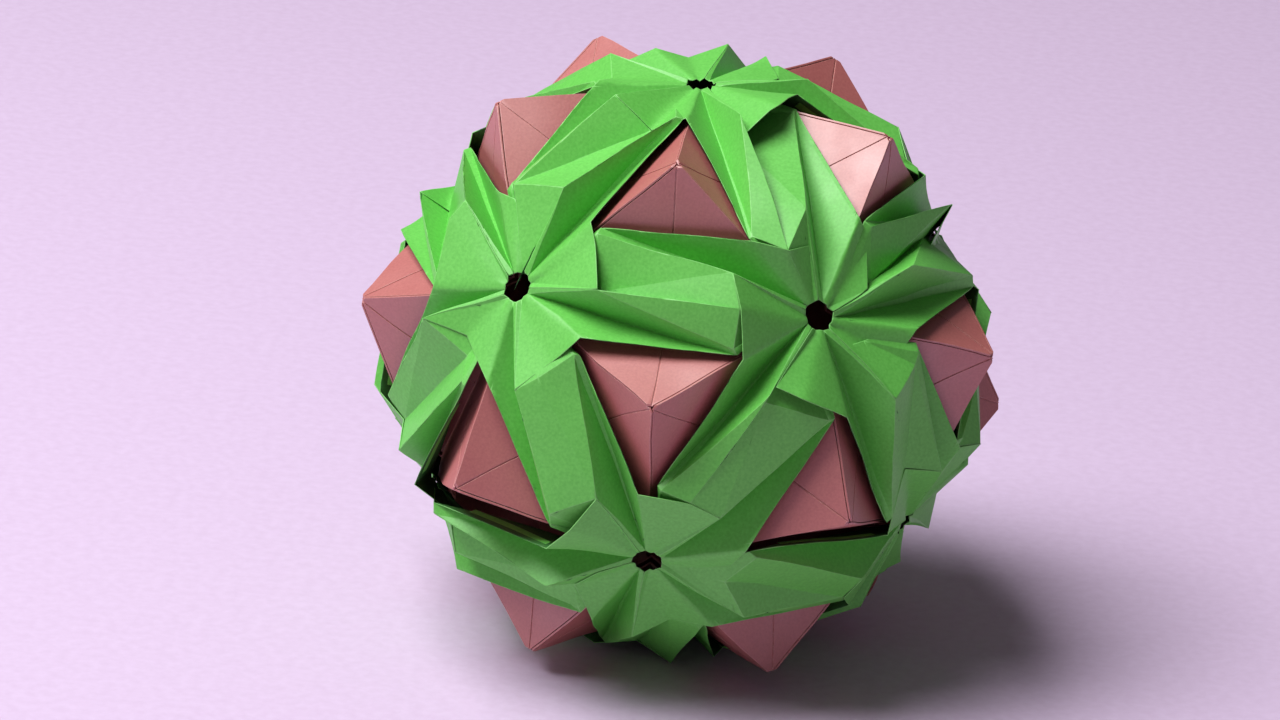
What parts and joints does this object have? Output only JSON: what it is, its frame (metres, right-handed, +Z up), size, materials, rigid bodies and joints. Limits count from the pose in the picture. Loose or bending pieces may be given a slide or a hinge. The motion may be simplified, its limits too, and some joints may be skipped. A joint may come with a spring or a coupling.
{
  "type": "modular paper ball",
  "caption": "Folded paper ball: pointed rose pyramids stand through the windows of a green cage of pleated strips that meet in pinwheel stars.",
  "frame": {"origin": "below the centre of the ball, in the plane that the lowest flap corners over its ridge peaks rest on", "axes": "+Z up through the top star hole, -Y towards the star hole on the front of the lower ring, +X to the right as seen from the front"},
  "size_m": [0.0812, 0.0852, 0.0754],
  "materials": {
    "green_paper": "satin sheen, fine grain",
    "rose_paper": "pearl sheen, fine speckle"
  },
  "bodies": {
    "root": {"green_top_1": "green_paper", "green_top_2": "green_paper", "green_top_3": "green_paper", "green_top_4": "green_paper", "green_top_5": "green_paper", "green_upper_1": "green_paper", "green_upper_2": "green_paper", "green_upper_3": "green_paper", "green_upper_4": "green_paper", "green_upper_5": "green_paper", "green_belt_1": "green_paper", "green_belt_2": "green_paper", "green_belt_3": "green_paper", "green_belt_4": "green_paper", "green_belt_5": "green_paper", "green_belt_6": "green_paper", "green_belt_7": "green_paper", "green_belt_8": "green_paper", "green_belt_9": "green_paper", "green_belt_10": "green_paper", "green_lower_1": "green_paper", "green_lower_2": "green_paper", "green_lower_3": "green_paper", "green_lower_4": "green_paper", "green_lower_5": "green_paper", "green_bottom_1": "green_paper", "green_bottom_2": "green_paper", "green_bottom_3": "green_paper", "green_bottom_4": "green_paper", "green_bottom_5": "green_paper", "rose_top_1": "rose_paper", "rose_top_2": "rose_paper", "rose_top_3": "rose_paper", "rose_top_4": "rose_paper", "rose_top_5": "rose_paper", "rose_upper_1": "rose_paper", "rose_upper_2": "rose_paper", "rose_upper_3": "rose_paper", "rose_upper_4": "rose_paper", "rose_upper_5": "rose_paper", "rose_belt_1": "rose_paper", "rose_belt_2": "rose_paper", "rose_belt_3": "rose_paper", "rose_belt_4": "rose_paper", "rose_belt_5": "rose_paper", "rose_belt_6": "rose_paper", "rose_belt_7": "rose_paper", "rose_belt_8": "rose_paper", "rose_belt_9": "rose_paper", "rose_belt_10": "rose_paper", "rose_lower_1": "rose_paper", "rose_lower_2": "rose_paper", "rose_lower_3": "rose_paper", "rose_lower_4": "rose_paper", "rose_lower_5": "rose_paper", "rose_bottom_1": "rose_paper", "rose_bottom_2": "rose_paper", "rose_bottom_3": "rose_paper", "rose_bottom_4": "rose_paper", "rose_bottom_5": "rose_paper"}
  },
  "joints": []
}
